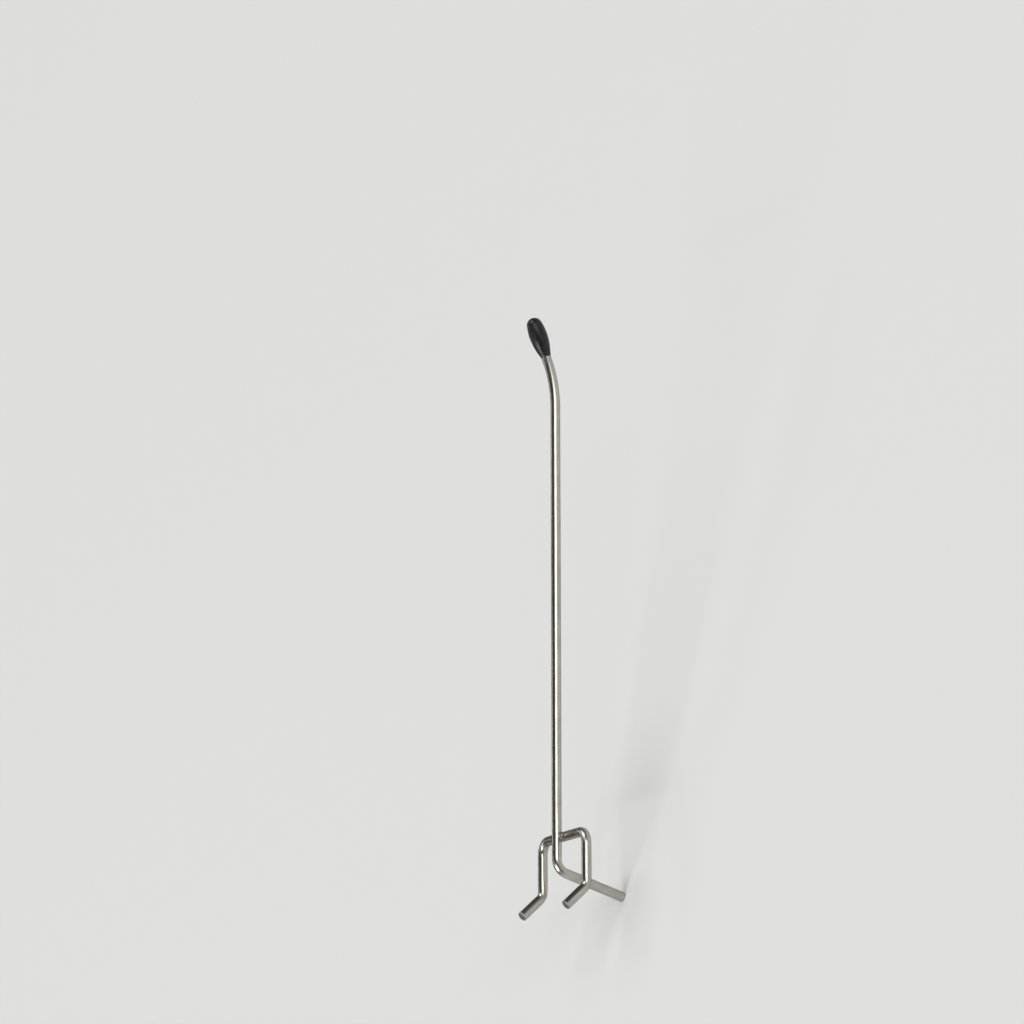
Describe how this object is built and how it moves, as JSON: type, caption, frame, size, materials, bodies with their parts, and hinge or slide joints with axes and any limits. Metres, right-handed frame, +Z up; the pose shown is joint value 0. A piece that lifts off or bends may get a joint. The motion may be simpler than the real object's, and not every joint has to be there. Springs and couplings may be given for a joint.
{
  "type": "pegboard hook",
  "caption": "Straight wire pegboard hook: a shank with an upturned vinyl-covered tip and a bracing tail, welded over a U-shaped cross wire whose ends are upturned pegs.",
  "frame": {"origin": "on the board's front face, midway between the two pegs, level with the centres of the holes", "axes": "+Y into the board, -Y the way the shank points, +Z up, X along the row of holes"},
  "size_m": [0.028, 0.1622, 0.0613],
  "materials": {
    "hook_plating": "bright zinc plate on drawn steel wire",
    "peg_plating": "bright zinc plate on drawn steel wire",
    "black_vinyl": "dipped vinyl, soft gloss"
  },
  "bodies": {
    "root": {"hook_wire": "hook_plating", "peg_wire": "peg_plating", "vinyl_tip": "black_vinyl"}
  },
  "joints": []
}
